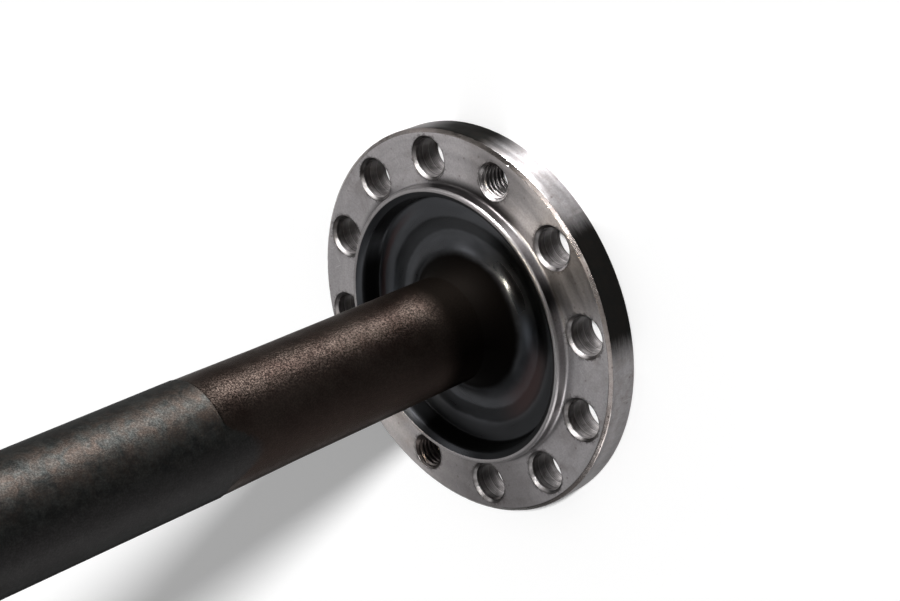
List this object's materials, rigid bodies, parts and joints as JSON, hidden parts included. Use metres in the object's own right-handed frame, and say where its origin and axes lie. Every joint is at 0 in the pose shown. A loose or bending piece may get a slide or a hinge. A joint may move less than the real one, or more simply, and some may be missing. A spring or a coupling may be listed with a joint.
{
  "type": "axle shaft",
  "caption": "Flanged half shaft of a driving axle: a long round shaft forged in one with a bolted wheel flange, and a splined end that takes the drive.",
  "frame": {"origin": "centre of the flange's flat outer face, on which the shaft stands", "axes": "+Z along the shaft from the flange to the splined end, +X through a plain bolt hole, and the two jacking threads on the Y axis"},
  "size_m": [0.16, 0.1598, 0.88],
  "materials": {
    "forged_steel": "satin turned flange, dark brown forging scale on the neck, smooth grey-green heat-treated bar"
  },
  "bodies": {
    "root": {"axle_shaft": "forged_steel"}
  },
  "joints": []
}
